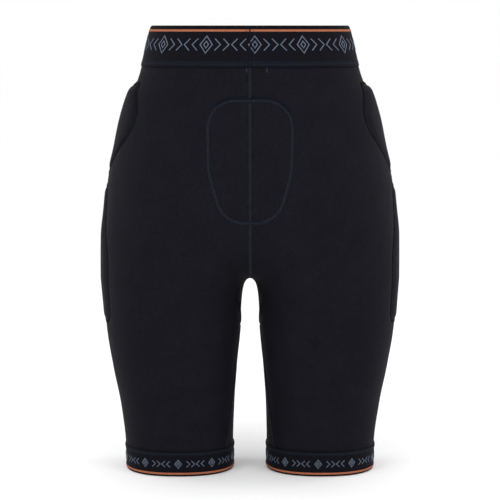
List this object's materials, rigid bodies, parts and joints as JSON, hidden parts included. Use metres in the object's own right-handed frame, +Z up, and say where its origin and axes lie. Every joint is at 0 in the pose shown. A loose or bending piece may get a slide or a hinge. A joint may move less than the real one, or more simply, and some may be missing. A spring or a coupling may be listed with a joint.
{
  "type": "padded impact shorts",
  "caption": "High-waisted knee-length stretch shorts with a wide elastic waistband, elastic hem bands, flat seams and removable hip, thigh and tailbone protectors in inner pockets.",
  "frame": {"origin": "bottom centre of the overall box, on the plane of the two hem edges", "axes": "+Z up from hems to waist, +Y to the wearer's front, +X to the wearer's right"},
  "size_m": [0.3834, 0.2353, 0.574],
  "materials": {
    "shell_knit": "matte black stretch warp knit",
    "band_jacquard": "black jacquard elastic",
    "copper_yarn": "copper orange yarn",
    "silicone": "soft satin silicone",
    "pocket_mesh": "fine black mesh knit",
    "pad_foam": "matte moulded foam",
    "seam_thread": "dark slate flatlock thread",
    "label_satin": "blank white satin ribbon"
  },
  "bodies": {
    "root": {"back_panel_left": "shell_knit", "back_panel_right": "shell_knit", "front_panel_left": "shell_knit", "front_panel_right": "shell_knit", "crotch_gusset": "shell_knit", "waistband": "band_jacquard", "waistband_stripe": "copper_yarn", "hem_band_left": "band_jacquard", "hem_band_right": "band_jacquard", "hem_stripe_left": "copper_yarn", "hem_stripe_right": "copper_yarn", "hem_gripper_left": "silicone", "hem_gripper_right": "silicone", "coccyx_pocket": "pocket_mesh", "hip_pocket_left": "pocket_mesh", "hip_pocket_right": "pocket_mesh", "thigh_pocket_left": "pocket_mesh", "thigh_pocket_right": "pocket_mesh", "centre_back_seam": "seam_thread", "centre_front_seam": "seam_thread", "coccyx_pocket_seam": "seam_thread", "hip_pocket_seam_left": "seam_thread", "hip_pocket_seam_right": "seam_thread", "thigh_pocket_seam_left": "seam_thread", "thigh_pocket_seam_right": "seam_thread", "inseam_left": "seam_thread", "inseam_right": "seam_thread", "care_label": "label_satin", "coccyx_mouth_binding": "seam_thread"},
    "coccyx_protector": {"coccyx_pad": "pad_foam"},
    "hip_protector_left": {"hip_pad_left": "pad_foam"},
    "hip_protector_right": {"hip_pad_right": "pad_foam"},
    "thigh_protector_left": {"thigh_pad_left": "pad_foam"},
    "thigh_protector_right": {"thigh_pad_right": "pad_foam"}
  },
  "joints": [
    {"name": "coccyx_pad_slide", "type": "hinge", "parent": "root", "child": "coccyx_protector", "pos_m": [0, 0.115, 0.368], "axis": [-1, 0, 0], "range_deg": [0, 40]},
    {"name": "hip_pad_slide_left", "type": "hinge", "parent": "root", "child": "hip_protector_left", "pos_m": [-0.065, 0.01, 0.445], "axis": [0, 0, -1], "range_deg": [0, 82]},
    {"name": "hip_pad_slide_right", "type": "hinge", "parent": "root", "child": "hip_protector_right", "pos_m": [0.065, 0.01, 0.445], "axis": [0, 0, 1], "range_deg": [0, 82]},
    {"name": "thigh_pad_slide_left", "type": "hinge", "parent": "root", "child": "thigh_protector_left", "pos_m": [-0.104, 0.011, 0.283], "axis": [0, 0, -1], "range_deg": [0, 94]},
    {"name": "thigh_pad_slide_right", "type": "hinge", "parent": "root", "child": "thigh_protector_right", "pos_m": [0.104, 0.011, 0.283], "axis": [0, 0, 1], "range_deg": [0, 94]}
  ]
}
